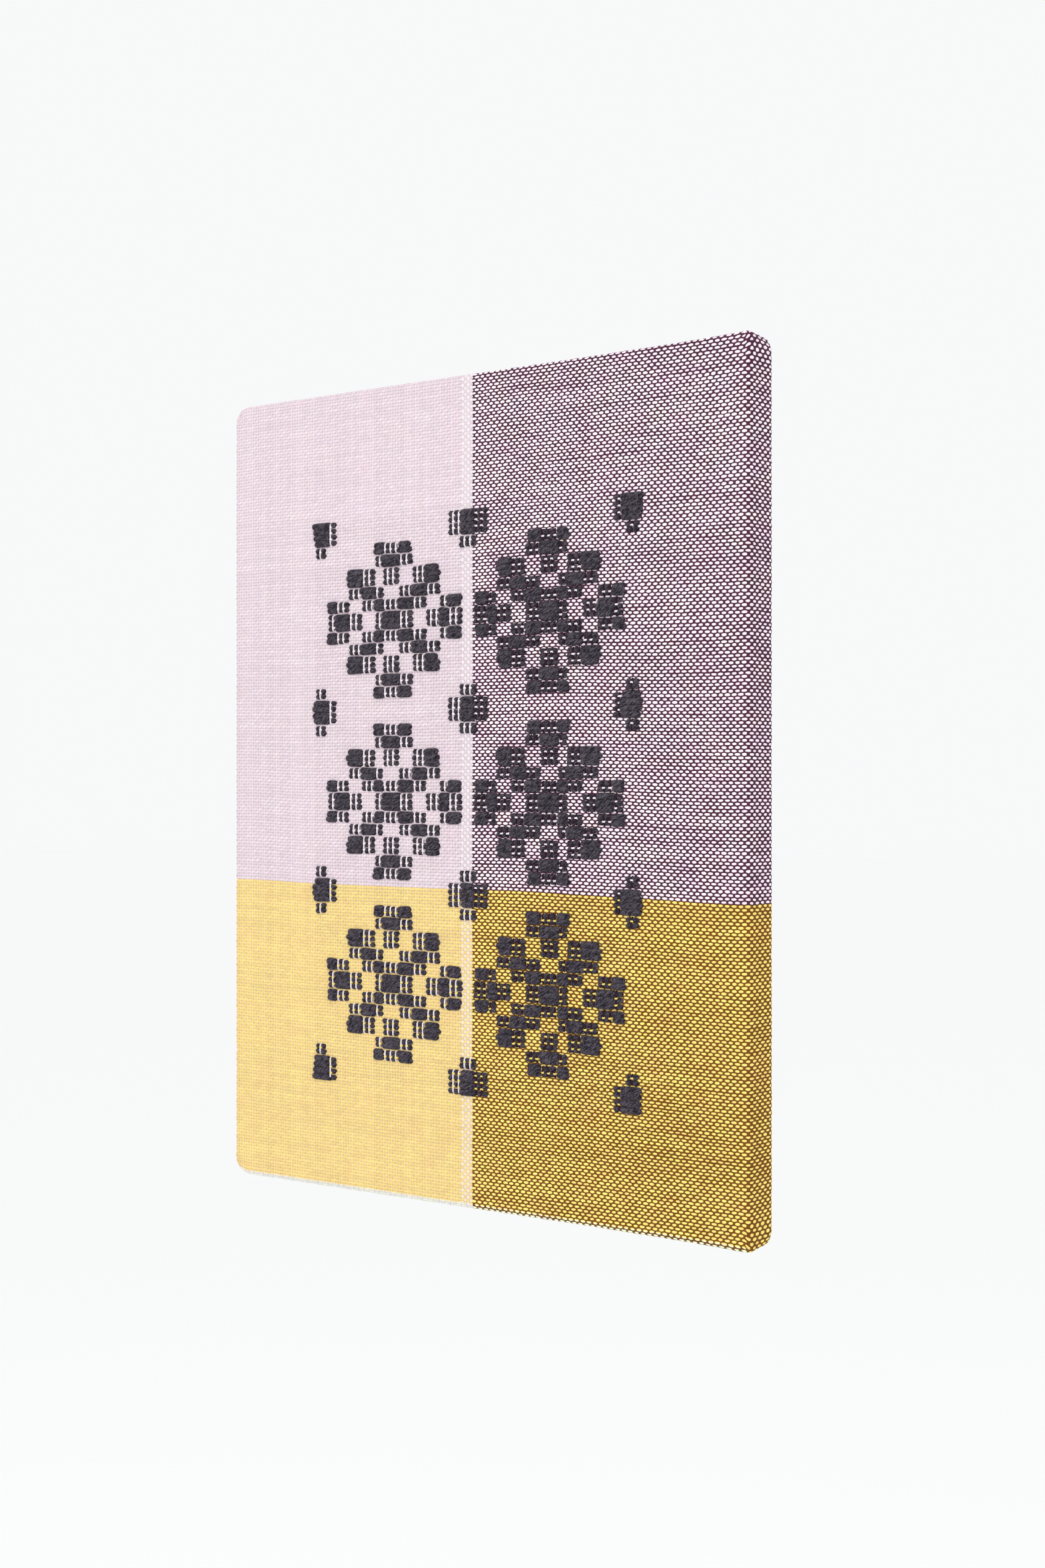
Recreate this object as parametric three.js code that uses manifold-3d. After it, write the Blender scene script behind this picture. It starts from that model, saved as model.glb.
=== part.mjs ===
// A handwoven wall hanging: one cloth stretched over a thin frame of four mitred bars.
// Millimetres, +Z up. The face looks along -Y and the wall is the plane y = 0. The origin is on that plane, in the
// middle of the cloth that is turned over the top bar.
import * as THREE from "three";
import { mergeVertices } from "three/addons/utils/BufferGeometryUtils.js";
import Module from "manifold-3d";

const wasm = await Module();
wasm.setup();

// The wooden frame
const frameWidth = 279.4;
const frameHeight = 355.6;
const barWidth = 38;
const barThickness = 15.9;
const mitreGap = 0.3;

// The cloth, which covers the front and the sides and is turned onto the back
const clothThickness = 1.3;
const clearance = 0.3; // between the cloth and the wood
const turnBack = 28; // how far the cloth comes onto the back
const frontFold = 2.2; // outer radius of the fold along the front edge
const backFold = 3; // and along the back edge
const cornerRadius = { left: [8, 8], right: [1, 6] }; // roundness of the corners, at the front and at the back
const tightCorner = 1; // roundness that is left where the cloth is folded in at a corner
const cutEdge = 0.4; // roundness of the turned edge
const edgeDrift = 0.8; // how far the turned edge wanders from straight
const driftWaves = 3; // in how many waves, on each side
const creaseDepth = 0.5; // the crease of each folded corner, on the back

// The weave: warp ends across the face, weft picks down it, and a pattern weft laid in after every second pick
const endCount = 181;
const pickCount = 259;
const picksPerPattern = 2;

// The draft: the blocks of one repeat, and the warp ends across and the pattern picks down that each takes
const blockOrder = "ABCDABCBADCB";
const endsOfBlock = [5, 4, 4, 5, 5, 4, 6, 4, 5, 5, 4, 4];
const picksOfBlock = [4, 2, 2, 3, 2, 2, 3, 2, 2, 3, 2, 2];
const repeatsAcross = 2;
const repeatsDown = 3;
const roseReach = 6; // how many blocks a rose reaches from its middle, counted across and down together
const patternDrop = 5; // the pattern's middle is this far below the panel's

// A block of floats, where the pattern weft lies on the face
const floatHeight = 0.8; // how far it stands off the cloth
const floatMargin = 0.35; // bare cloth on each side of it
const floatSlope = 0.5; // how far its top draws in
const floatRoot = 0.6; // how deep its foot is bedded

// Facets
const foldSteps = 3;
const cornerSteps = 6;
const sideSteps = 12;

const clothLook = { color: 0xd8c3cc, roughness: 0.92, metalness: 0 };
const woodLook = { color: 0xd9b98a, roughness: 0.6, metalness: 0 };

const clothReach = clothThickness + clearance;
const width = frameWidth + 2 * clothReach;
const height = frameHeight + 2 * clothReach;
const depth = barThickness + 2 * clothReach;
const endPitch = width / endCount;
const patternPitch = (height / pickCount) * picksPerPattern;
const originBelowTop = (backFold + turnBack) / 2;

// The panel's rounded outline in plan, drawn in by an inset and lying at one depth. Points in a folded corner's
// crease are pushed forward by sink, and the stretches between corners wander by drift. The roundness of a corner
// changes from the front to the back.
function rim(inset, y, { drift = 0, sink = 0 } = {}) {
  const points = [];
  const backward = THREE.MathUtils.clamp(1 + y / depth, 0, 1);
  const corners = [
    { x: 1, z: 1, from: 0, radius: cornerRadius.right },
    { x: -1, z: 1, from: Math.PI / 2, radius: cornerRadius.left },
    { x: -1, z: -1, from: Math.PI, radius: cornerRadius.left },
    { x: 1, z: -1, from: 1.5 * Math.PI, radius: cornerRadius.right },
  ];
  const arcs = corners.map(({ x, z, from, radius }) => {
    const r = Math.max(THREE.MathUtils.lerp(...radius, backward) - inset, tightCorner);
    const centre = new THREE.Vector3(x * (width / 2 - inset - r), y, z * (height / 2 - inset - r));
    return Array.from({ length: cornerSteps + 1 }, (_, k) => {
      const angle = from + (k / cornerSteps) * (Math.PI / 2);
      const crease = k === cornerSteps / 2 ? sink : 0;
      return new THREE.Vector3(Math.cos(angle) * r, -crease, Math.sin(angle) * r).add(centre);
    });
  });
  arcs.forEach((arc, k) => {
    const start = arc[cornerSteps];
    const end = arcs[(k + 1) % arcs.length][0];
    const inward = end.clone().sub(start).normalize().cross(new THREE.Vector3(0, 1, 0));
    points.push(...arc);
    for (let s = 1; s < sideSteps; s++) {
      const t = s / sideSteps;
      const wave = drift * Math.sin(2 * Math.PI * driftWaves * t) * Math.sin(Math.PI * t);
      points.push(start.clone().lerp(end, t).addScaledVector(inward, wave));
    }
  });
  return points;
}

// A closed solid through a row of rims, with a flat cap on the first and the last
function throughRims(rims) {
  const count = rims[0].length;
  const vertices = rims.flat();
  const faces = [];
  for (let r = 0; r + 1 < rims.length; r++) {
    for (let k = 0; k < count; k++) {
      const [a, b] = [r * count + k, r * count + ((k + 1) % count)];
      faces.push([a, a + count, b], [b, a + count, b + count]);
    }
  }
  const capEnds = [
    [0, false],
    [(rims.length - 1) * count, true],
  ];
  for (const [first, flip] of capEnds) {
    const centre = vertices.length;
    const y = vertices[first].y;
    vertices.push(new THREE.Vector3(0, y, 0));
    for (let k = 0; k < count; k++) {
      const [a, b] = [first + k, first + ((k + 1) % count)];
      faces.push(flip ? [centre, b, a] : [centre, a, b]);
    }
  }
  const geometry = new THREE.BufferGeometry();
  geometry.setAttribute("position", new THREE.Float32BufferAttribute(vertices.flatMap((v) => v.toArray()), 3));
  geometry.setIndex(faces.flat());
  return geometry;
}

function solidOf(geometry) {
  const bare = geometry.clone();
  bare.deleteAttribute("normal");
  bare.deleteAttribute("uv");
  const merged = mergeVertices(bare, 1e-4);
  return new wasm.Manifold(
    new wasm.Mesh({
      numProp: 3,
      vertProperties: new Float32Array(merged.attributes.position.array),
      triVerts: new Uint32Array(merged.index.array),
    }),
  );
}

function geometryOf(solid) {
  const mesh = solid.getMesh();
  const geometry = new THREE.BufferGeometry();
  geometry.setAttribute("position", new THREE.BufferAttribute(new Float32Array(mesh.vertProperties), 3));
  geometry.setIndex(new THREE.BufferAttribute(new Uint32Array(mesh.triVerts), 1));
  geometry.computeVertexNormals();
  return geometry;
}

// Rims round the front fold and the back fold, seen as quarter circles of the given radii about the cloth's own
// fold centres, from the face to the back
const quarter = (k) => (k / foldSteps) * (Math.PI / 2);
const foldRange = Array.from({ length: foldSteps + 1 }, (_, k) => k);

function frontFoldRims(radius) {
  return foldRange.map((k) => {
    const angle = quarter(k);
    return rim(frontFold - radius * Math.sin(angle), frontFold - depth - radius * Math.cos(angle));
  });
}

function backFoldRims(radius) {
  return foldRange.map((k) => {
    const angle = quarter(k);
    const sink = k === foldSteps && radius === backFold ? creaseDepth : 0;
    return rim(backFold - radius * Math.cos(angle), radius * Math.sin(angle) - backFold, { sink });
  });
}

// The sheet: out over the face, round the sides, onto the back as far as the turned edge, and back inside it
function stretchedSheet() {
  const turned = { drift: edgeDrift, sink: creaseDepth };
  return throughRims([
    ...frontFoldRims(frontFold),
    ...backFoldRims(backFold),
    rim(originBelowTop, 0, { sink: creaseDepth }),
    rim(turnBack - cutEdge, 0, turned),
    rim(turnBack, -cutEdge, turned),
    rim(turnBack, -clothThickness, { drift: edgeDrift }),
    ...backFoldRims(backFold - clothThickness).reverse(),
    ...frontFoldRims(frontFold - clothThickness).reverse(),
  ]);
}

// The blocks along one direction, which end as they began, and the total of their threads. Each has its letter,
// how many blocks it is away from the middle of its repeat, its first thread and its thread count.
function layOut(threadsOfBlock, repeats) {
  const runs = [];
  let total = 0;
  for (let k = 0; k <= repeats * blockOrder.length; k++) {
    const place = k % blockOrder.length;
    const letter = blockOrder[place];
    const away = Math.abs(place - blockOrder.length / 2);
    const count = threadsOfBlock[place];
    runs.push({ letter, away, first: total, count });
    total += count;
  }
  return { runs, total };
}

// The pattern weft is laid in over a rose in the middle of each repeat, and over a table between each four roses
function laidIn(column, row) {
  const away = column.away + row.away;
  return away <= roseReach || away >= blockOrder.length - 1;
}

// It floats over a whole block where its pick and the warp are in the same block of the draft
function floatBlocks() {
  const across = layOut(endsOfBlock, repeatsAcross);
  const down = layOut(picksOfBlock, repeatsDown);
  const left = (-across.total / 2) * endPitch;
  const top = (down.total / 2) * patternPitch - patternDrop;
  const blocks = [];
  for (const column of across.runs) {
    const floatsOver = (row) => row.letter === column.letter && laidIn(column, row);
    for (const row of down.runs.filter(floatsOver)) {
      blocks.push({
        x: left + (column.first + column.count / 2) * endPitch,
        z: top - (row.first + row.count / 2) * patternPitch,
        wide: column.count * endPitch - 2 * floatMargin,
        high: row.count * patternPitch - 2 * floatMargin,
      });
    }
  }
  return blocks;
}

function floatPillow({ x, z, wide, high }) {
  const thick = floatHeight + floatRoot;
  const geometry = new THREE.BoxGeometry(wide, thick, high);
  const position = geometry.attributes.position;
  for (let k = 0; k < position.count; k++) {
    if (position.getY(k) < 0) {
      position.setX(k, position.getX(k) - Math.sign(position.getX(k)) * floatSlope);
      position.setZ(k, position.getZ(k) - Math.sign(position.getZ(k)) * floatSlope);
    }
  }
  return geometry.translate(x, floatRoot - depth - thick / 2, z);
}

function wovenCloth() {
  const pillows = floatBlocks().map((block) => solidOf(floatPillow(block)));
  const cloth = pillows.reduce((whole, pillow) => whole.add(pillow), solidOf(stretchedSheet()));
  return geometryOf(cloth);
}

// The frame before it is cut into bars: a plate with eased edges, and a square window
function frameSolid() {
  const plate = throughRims([
    ...frontFoldRims(frontFold - clothReach),
    ...backFoldRims(backFold - clothReach),
  ]);
  const window = new THREE.BoxGeometry(frameWidth - 2 * barWidth, 2 * depth, frameHeight - 2 * barWidth);
  return solidOf(plate).subtract(solidOf(window));
}

// The wedge that holds one bar between the mitres at its ends. The outline is in plan, with the bar's outer side
// away from the middle along "out".
function mitreWedge(out) {
  const along = out.x ? "z" : "x";
  const half = { x: frameWidth / 2, z: frameHeight / 2 };
  const reach = (drawIn) => {
    const across = out.x ? out.x * (half.x - drawIn) : out.z * (half.z - drawIn);
    const end = half[along] - drawIn - mitreGap * Math.SQRT1_2;
    return [-end, end].map((s) => (out.x ? new THREE.Vector2(across, s) : new THREE.Vector2(s, across)));
  };
  const [outerStart, outerEnd] = reach(-clothThickness);
  const [innerStart, innerEnd] = reach(barWidth + clothThickness);
  const outline = new THREE.Shape([outerStart, outerEnd, innerEnd, innerStart]);
  const wedge = new THREE.ExtrudeGeometry(outline, { depth: 2 * depth, bevelEnabled: false });
  return solidOf(wedge.rotateX(Math.PI / 2).translate(0, depth / 2, 0));
}

function bars() {
  const frame = frameSolid();
  const sides = {
    top_bar: { x: 0, z: 1 },
    bottom_bar: { x: 0, z: -1 },
    left_bar: { x: -1, z: 0 },
    right_bar: { x: 1, z: 0 },
  };
  return Object.entries(sides).map(([name, out]) => {
    const bar = new THREE.Mesh(
      geometryOf(frame.intersect(mitreWedge(out))),
      new THREE.MeshStandardMaterial(woodLook),
    );
    bar.name = name;
    return bar;
  });
}

const cloth = new THREE.Mesh(wovenCloth(), new THREE.MeshStandardMaterial(clothLook));
cloth.name = "woven_cloth";

const panel = new THREE.Group();
panel.add(cloth, ...bars());
panel.position.z = originBelowTop - height / 2;

const wallHanging = new THREE.Group();
wallHanging.add(panel);

export default wallHanging;
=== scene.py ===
import math

import bpy
import numpy as np
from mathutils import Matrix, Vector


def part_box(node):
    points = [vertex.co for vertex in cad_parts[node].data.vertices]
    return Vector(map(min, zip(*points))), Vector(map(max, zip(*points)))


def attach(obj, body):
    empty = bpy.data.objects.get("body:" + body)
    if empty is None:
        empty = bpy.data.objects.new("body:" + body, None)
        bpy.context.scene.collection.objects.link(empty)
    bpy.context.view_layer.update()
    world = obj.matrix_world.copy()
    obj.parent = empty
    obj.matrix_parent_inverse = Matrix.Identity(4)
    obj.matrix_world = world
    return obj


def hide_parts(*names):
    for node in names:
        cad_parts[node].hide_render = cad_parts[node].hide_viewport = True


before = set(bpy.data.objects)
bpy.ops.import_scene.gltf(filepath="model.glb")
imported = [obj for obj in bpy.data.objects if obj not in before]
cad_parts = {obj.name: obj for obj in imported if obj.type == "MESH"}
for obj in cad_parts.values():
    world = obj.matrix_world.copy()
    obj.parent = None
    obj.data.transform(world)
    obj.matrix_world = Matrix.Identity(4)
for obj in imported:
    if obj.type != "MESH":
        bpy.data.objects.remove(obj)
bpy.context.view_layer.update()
scene = bpy.context.scene
scene.view_settings.view_transform = "Standard"

# the panel, in metres: its face looks along -Y and its back lies on y = 0
clothLow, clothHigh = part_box("woven_cloth")
panel = {
    "halfWidth": (clothHigh[0] - clothLow[0]) / 2,
    "halfHeight": (clothHigh[2] - clothLow[2]) / 2,
    "middle": (clothHigh[2] + clothLow[2]) / 2,  # height of the panel's centre
    "depth": 0.0191,
    "frontFold": 0.0022,
    "backFold": 0.003,
    "turnBack": 0.028,
    "thickness": 0.0013,
    "cornerLeft": (0.008, 0.008),  # roundness of the corners, at the front and at the back
    "cornerRight": (0.001, 0.006),
    "tightCorner": 0.001,  # no corner beyond the face is sharper than this
}

# warp ends and weft picks on the flat of the face, with one pattern pick after every second pick
weave = {"ends": 179, "picks": 257, "picksPerPattern": 2, "patternDrop": 3.5}  # the drop is in picks
endPitch = 2 * (panel["halfWidth"] - panel["frontFold"]) / (weave["ends"] - 1)
pickPitch = 2 * (panel["halfHeight"] - panel["frontFold"]) / (weave["picks"] - 1)
patternPitch = pickPitch * weave["picksPerPattern"]


# node helpers
def feed(tree, socket, value):
    if isinstance(value, bpy.types.NodeSocket):
        tree.links.new(value, socket)
    else:
        socket.default_value = value


def feedAll(tree, node, values):
    for key, value in values.items():
        feed(tree, node.inputs[key], value)


def addNode(tree, kind, values=None, **settings):
    node = tree.nodes.new(kind)
    for key, value in settings.items():
        setattr(node, key, value)
    feedAll(tree, node, values or {})
    return node


def calc(tree, operation, *values):
    node = addNode(tree, "ShaderNodeMath", operation=operation)
    for socket, value in zip(node.inputs, values):
        feed(tree, socket, value)
    return node.outputs[0]


def mathIn(tree):
    # a short name for the many sums in one tree
    return lambda operation, *values: calc(tree, operation, *values)


def between(tree, share, low, high):
    # a number that goes from low to high as the share goes from 0 to 1
    return calc(tree, "MULTIPLY_ADD", share, high - low, low)


def ease(tree, value, low, high, toLow=0.0, toHigh=1.0):
    values = {"Value": value, "From Min": low, "From Max": high, "To Min": toLow, "To Max": toHigh}
    node = addNode(tree, "ShaderNodeMapRange", values, interpolation_type="SMOOTHSTEP")
    return node.outputs[0]


def mixColour(tree, factor, first, second, mode="MIX"):
    node = addNode(tree, "ShaderNodeMix", data_type="RGBA", blend_type=mode)
    for index, value in ((0, factor), (6, first), (7, second)):
        feed(tree, node.inputs[index], value)
    return node.outputs[2]


def noise(tree, vector, scale, detail=2.0, roughness=0.5, dimensions="3D"):
    values = {"Vector": vector, "Scale": scale, "Detail": detail, "Roughness": roughness}
    return addNode(tree, "ShaderNodeTexNoise", values, noise_dimensions=dimensions)


def vectorCalc(tree, operation, first, second):
    return addNode(tree, "ShaderNodeVectorMath", {0: first, 1: second}, operation=operation).outputs[0]


def scaled(tree, vector, factors):
    return vectorCalc(tree, "MULTIPLY", vector, factors)


def centred(tree, colour):
    # a noise colour as a vector about zero
    return vectorCalc(tree, "SUBTRACT", colour, (0.5, 0.5, 0.5))


def vectorOf(tree, x=0.0, y=0.0, z=0.0):
    return addNode(tree, "ShaderNodeCombineXYZ", {0: x, 1: y, 2: z}).outputs[0]


def partsOf(tree, vector):
    return addNode(tree, "ShaderNodeSeparateXYZ", {0: vector}).outputs


def bumped(tree, height, strength, distance):
    values = {"Height": height, "Strength": strength, "Distance": distance}
    return addNode(tree, "ShaderNodeBump", values).outputs[0]


def shaded(tree, colour, value):
    # a colour multiplied by a number
    grey = addNode(tree, "ShaderNodeCombineColor", {0: value, 1: value, 2: value}).outputs[0]
    return mixColour(tree, 1.0, colour, grey, "MULTIPLY")


def newMaterial(name):
    material = bpy.data.materials.new(name)
    material.use_nodes = True
    tree = material.node_tree
    tree.nodes.clear()
    output = addNode(tree, "ShaderNodeOutputMaterial")
    shader = addNode(tree, "ShaderNodeBsdfPrincipled")
    tree.links.new(shader.outputs[0], output.inputs[0])
    return material, tree, shader


def addObject(name, data):
    added = bpy.data.objects.new(name, data)
    scene.collection.objects.link(added)
    return added


# the draft: which ends each pattern pick floats over
draft = {
    "across": "A5 B4 C4 D5 A5 B4 C6 B4 A5 D5 C4 B4",
    "down": "A4 B2 C2 D3 A2 B2 C3 B2 A2 D3 C2 B2",
    "repeatsAcross": 2,
    "repeatsDown": 3,
    "rose": 6,  # how many blocks a rose reaches from its middle, counted across and down together
    "shafts": {"A": (1, 2), "B": (3, 2), "C": (3, 4), "D": (1, 4)},  # shafts of even and odd ends
}


def spellOut(profile, repeats):
    # for each thread, its block's letter, and how many blocks it is from the middle of its repeat
    blocks = profile.split()
    row = [(block[0], abs(place - len(blocks) // 2), int(block[1:])) for place, block in enumerate(blocks)]
    return [(letter, away) for letter, away, count in row * repeats + row[:1] for _ in range(count)]


def onTheFace(end, pickIndex):
    # the weft is laid in over a rose in the middle of each repeat, and over a table between four roses
    endLetter, across = endBlocks[end]
    pickLetter, down = pickBlocks[pickIndex]
    furthest = len(draft["down"].split()) - 1
    laidIn = across + down <= draft["rose"] or across + down >= furthest
    return laidIn and draft["shafts"][endLetter][end % 2] in draft["shafts"][pickLetter]


endBlocks = spellOut(draft["across"], draft["repeatsAcross"])
pickBlocks = spellOut(draft["down"], draft["repeatsDown"])
firstEnd = (weave["ends"] - len(endBlocks)) // 2
patternTop = panel["middle"] - weave["patternDrop"] * pickPitch + len(pickBlocks) / 2 * patternPitch


def runsOf(flags):
    runs, start = [], None
    for index, flag in enumerate(list(flags) + [False]):
        if flag and start is None:
            start = index
        if not flag and start is not None:
            runs.append((start, index - start))
            start = None
    return runs


def pickHeight(pickIndex):
    return patternTop - (pickIndex + 0.5) * patternPitch


def inwardAt(pickIndex):
    # which way a pick is drawn into its block: 1 is up, on its last pick, and -1 is down, on its first
    block = pickBlocks[pickIndex]
    isFirst = pickBlocks[max(pickIndex - 1, 0)] != block
    isLast = pickBlocks[min(pickIndex + 1, len(pickBlocks) - 1)] != block
    return int(isLast) - int(isFirst)


# each float: its first end, how many ends it covers, and its pick
faceFloats, backFloats = [], []
for pickIndex in range(len(pickBlocks)):
    raised = [onTheFace(end, pickIndex) for end in range(len(endBlocks))]
    faceFloats += [(first, count, pickIndex) for first, count in runsOf(raised)]
    backFloats += [(first, count, pickIndex) for first, count in runsOf([not flag for flag in raised])]

# an end alone between two floats ties them down: the ends, with the first pick and how many picks
singles = {(first, pickIndex) for first, count, pickIndex in backFloats if count == 1}
ties = []
for end in range(1, len(endBlocks) - 1):
    flags = [(end, pickIndex) in singles for pickIndex in range(len(pickBlocks))]
    ties += [(end, first, count) for first, count in runsOf(flags)]
print("draft:", len(faceFloats), "face floats,", len(backFloats), "back floats,", len(ties), "tied ends")

# the cloth's sheet, with a vertex at every crossing of warp and weft on the face
sheet = {
    "frontSteps": 2,  # threads round the front fold, down the sides, round the back fold and onto the back
    "sideSteps": 7,
    "backSteps": 2,
    "turnSteps": 12,
    "threadsPerStep": 1.35,  # of those steps on the back, which are wider than a pick
    "relief": 0.00013,  # how far the weft stands up where it crosses over the warp
    "reliefVaries": 0.3,
    "sideRelief": (1.0, 0.9, 0.5, 0.15),  # its share on the front fold, the side, the back fold and the back
    "jitter": 0.00007,  # how far each crossing strays, and its shares down the face and round the sides
    "jitterDown": 0.8,
    "jitterRound": 0.7,
    "sway": 0.00045,  # slow waves in the picks
    "swayWaves": ((0.07, 0.16), 6),  # their lengths and seed
    "swayStretch": 1.6,
    "lean": 0.00022,  # and in the ends
    "leanWaves": ((0.05, 0.11), 5),
    "belly": 0.0003,  # and in the face's depth
    "bellyWaves": ((0.09, 0.2), 7),
    "waveVaries": (0.8, 1.25),
    "edgeDrift": 0.0008,  # how much the turned edge wavers
    "crease": 0.0005,  # depth of the crease in a folded corner
    "calmEdge": 0.012,  # the swaying dies away over this width at the face's edge, and the rings are fitted
    "cornerSpread": 0.6,  # how much wider the fitted stretch grows on the back, for each metre from the edge
    "flare": 0.0011,  # how much the folded right corners stand up and down
    "flareLength": 0.03,
    "flarePower": 13,
    "cutRound": 0.0004,  # the turned edge's cut: how round its corners are, and its inner side's setback
    "cutSetback": 0.0003,
    "cutStep": 0.0005,
    "innerStop": 0.015,  # a ring of the inner side between the back fold and the cut
    "rightSag": 1.5,  # how many picks the weft has slipped down along the right edge, and up along the left
    "leftRise": 0.6,
    "sagFrom": 0.6,  # share of the width past which it sags
    "sagBetween": (0.4, 0.7),  # shares of the height between which it sags in full
    "seed": 11,
}
nearly = 1e-6  # places closer than this are taken as one
rng = np.random.default_rng(sheet["seed"])
ends, picks = weave["ends"], weave["picks"]
middleEnd, middlePick = (ends - 1) / 2, (picks - 1) / 2
fullWidth = panel["halfWidth"] - panel["frontFold"]
fullHeight = panel["halfHeight"] - panel["frontFold"]
depth, thickness = panel["depth"], panel["thickness"]
frontFold, backFold, turnBack = panel["frontFold"], panel["backFold"], panel["turnBack"]


def ramp(values, low, high):
    part = np.clip((values - low) / (high - low), 0, 1)
    return part * part * (3 - 2 * part)


def waves(x, z, lengths, seed):
    # a smooth uneven surface between -1 and 1, from a few sines
    pick = np.random.default_rng(seed)
    total = np.zeros_like(x)
    for length in lengths:
        for _ in range(3):
            angle, phase = pick.uniform(0, 2 * math.pi, 2)
            run = x * math.cos(angle) + z * math.sin(angle)
            total += np.sin(run * 2 * math.pi / (length * pick.uniform(*sheet["waveVaries"])) + phase)
    return total / (3 * len(lengths))


def roundOff(x, z, inset, backward, tight):
    # takes points on the square ring at this inset to the ring with round corners; also gives outward normals
    halfWidth, halfHeight = panel["halfWidth"] - inset, panel["halfHeight"] - inset
    corners = (panel["cornerLeft"], panel["cornerRight"])
    left, right = (front + (back - front) * backward for front, back in corners)
    radius = np.maximum(np.where(x > 0, right, left) - inset, tight)
    gapX, gapZ = halfWidth - np.abs(x), halfHeight - np.abs(z)
    onSide = gapX < gapZ
    fromCorner = np.maximum(gapX, gapZ)
    turn = np.clip(fromCorner / np.maximum(radius, nearly), 0, 1) * math.pi / 4
    angle = np.where(onSide, math.pi / 4 - turn, math.pi / 4 + turn)
    curved = fromCorner < radius
    roundX = np.where(curved, halfWidth - radius + radius * np.cos(angle), np.abs(x))
    roundZ = np.where(curved, halfHeight - radius + radius * np.sin(angle), np.abs(z))
    outX = np.where(curved, np.cos(angle), np.where(onSide, 1.0, 0.0)) * np.sign(x)
    outZ = np.where(curved, np.sin(angle), np.where(onSide, 0.0, 1.0)) * np.sign(z)
    return roundX * np.sign(x), roundZ * np.sign(z), outX, outZ


def borderWalk(columns, rows):
    # the grid's edge, anticlockwise from its top right corner: column, row and side of each point
    walk = [(columns - 1 - k, 0, 0) for k in range(columns - 1)]
    walk += [(0, k, 1) for k in range(rows - 1)]
    walk += [(k, rows - 1, 2) for k in range(columns - 1)]
    walk += [(columns - 1, rows - 1 - k, 3) for k in range(rows - 1)]
    return np.array(walk)


def drawIn(position, full, half, span):
    # keeps a border point's place along its side, and fits those near the corner to a longer or shorter side
    start = half - span
    away = np.abs(position)
    fitted = start + (away - start) * (half - start) / (full - start)
    return np.where(away > start, fitted, away) * np.sign(position)


def closeUp(values):
    return np.roll(values, -1, axis=0)


def ringPoints(walk, step, inset, y, tilt, drift=0.0, crease=0.0):
    # one ring of the sheet round the edge: points and outward normals
    # its tilt is 0 where it faces the front, 1 sideways and 2 backwards
    x = -fullWidth + walk[:, 0] * step * endPitch
    z = fullHeight - walk[:, 1] * step * pickPitch
    span = sheet["calmEdge"] + (0 if inset <= backFold else inset * sheet["cornerSpread"])
    halfWidth, halfHeight = panel["halfWidth"] - inset, panel["halfHeight"] - inset
    atSide = np.abs(np.abs(x) - fullWidth) < nearly
    atTop = np.abs(np.abs(z) - fullHeight) < nearly
    newX = np.where(atSide, np.sign(x) * halfWidth, drawIn(x, fullWidth, halfWidth, span))
    newZ = np.where(atTop, np.sign(z) * halfHeight, drawIn(z, fullHeight, halfHeight, span))
    backward = min(max(1 + y / depth, 0), 1)
    px, pz, outX, outZ = roundOff(newX, newZ, inset, backward, panel["tightCorner"])
    away = np.where(atSide, newZ / halfHeight, newX / halfWidth)
    wander = drift * np.sin(3 * math.pi * away + walk[:, 2]) * (1 - away**2)
    px, pz = px + outX * wander, pz + outZ * wander
    angle = tilt * math.pi / 2
    points = np.stack([px, np.full_like(px, y) - crease * (atSide & atTop), pz], 1)
    forwards = np.full_like(px, -math.cos(angle))
    normals = np.stack([outX * math.sin(angle), forwards, outZ * math.sin(angle)], 1)
    return points, normals


# the sheet's points and triangles, with each triangle's corners in threads and on the flat
pieces = {"points": [], "triangles": [], "threads": [], "flat": []}


def addPoints(points):
    start = sum(len(some) for some in pieces["points"])
    pieces["points"].append(points)
    return start + np.arange(len(points))


def addTriangles(triangles, threads, flat):
    pieces["triangles"].append(triangles)
    pieces["threads"].append(threads)
    pieces["flat"].append(flat)


def bridge(near, far, cutBack=None):
    # the quads between two rings, each cut from near to the next far, or where cutBack is true the other way
    corners = np.stack([near["index"], far["index"], closeUp(far["index"]), closeUp(near["index"])], 1)
    threads = np.stack([near["thread"], far["thread"], far["nextThread"], near["nextThread"]], 1)
    flat = np.stack([near["flat"], far["flat"], closeUp(far["flat"]), closeUp(near["flat"])], 1)
    cutBack = np.zeros(len(corners), bool) if cutBack is None else cutBack
    for chosen, halves in ((~cutBack, ((0, 1, 2), (0, 2, 3))), (cutBack, ((0, 1, 3), (1, 2, 3)))):
        for half in halves:
            addTriangles(corners[chosen][:, half], threads[chosen][:, half], flat[chosen][:, half])


# the sheet unfolded flat, for textures: where its outer and inner sides lie, and at what scale
unfolded = {"outer": (0.335, 0.405, 1.75), "inner": (0.83, 0.205, 0.86)}


def flatPoint(x, z, distance, side):
    across, up, scale = unfolded[side]
    flatX = x * (fullWidth + distance) / fullWidth
    flatZ = z * (fullHeight + distance) / fullHeight
    return np.stack([across + flatX * scale, up + flatZ * scale], -1)


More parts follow.
